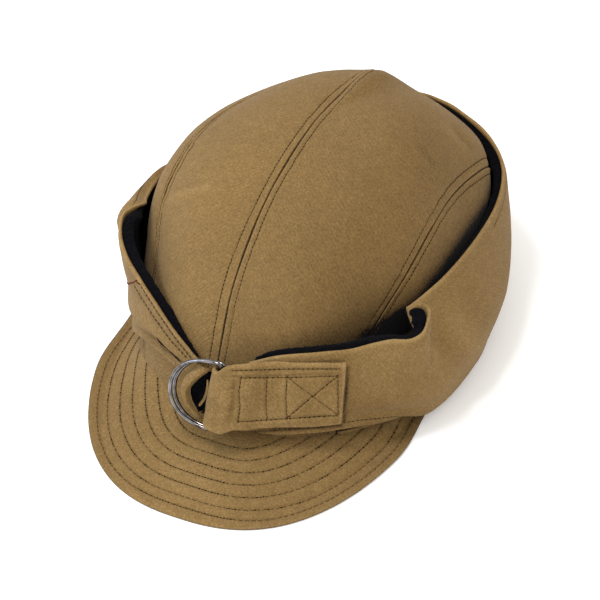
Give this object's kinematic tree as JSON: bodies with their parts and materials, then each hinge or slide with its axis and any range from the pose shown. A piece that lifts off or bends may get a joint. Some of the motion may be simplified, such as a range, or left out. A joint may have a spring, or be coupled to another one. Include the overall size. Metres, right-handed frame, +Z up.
{
  "type": "earflap cap",
  "caption": "Short-billed canvas cap with a deep panelled crown and a fleece-lined ear and neck flap folded up all round and buckled across the front by rings.",
  "frame": {"origin": "middle of the cap's bounding box, on the surface it rests on", "axes": "+Z up, the bill points to -Y, the wearer's left is +X"},
  "size_m": [0.1942, 0.2856, 0.124],
  "materials": {
    "canvas": "matt heavy cotton canvas",
    "fleece": "matt brushed pile",
    "nickel": "polished nickel wire"
  },
  "bodies": {
    "root": {"crown_right_side_panel": "canvas", "crown_right_top_panel": "canvas", "crown_left_top_panel": "canvas", "crown_left_side_panel": "canvas", "bill": "canvas", "flap_canvas": "canvas", "ring_tab": "canvas", "strap_end": "canvas", "flap_fleece": "fleece", "strap_end_fleece": "fleece", "ring_outer": "nickel", "ring_inner": "nickel"}
  },
  "joints": []
}
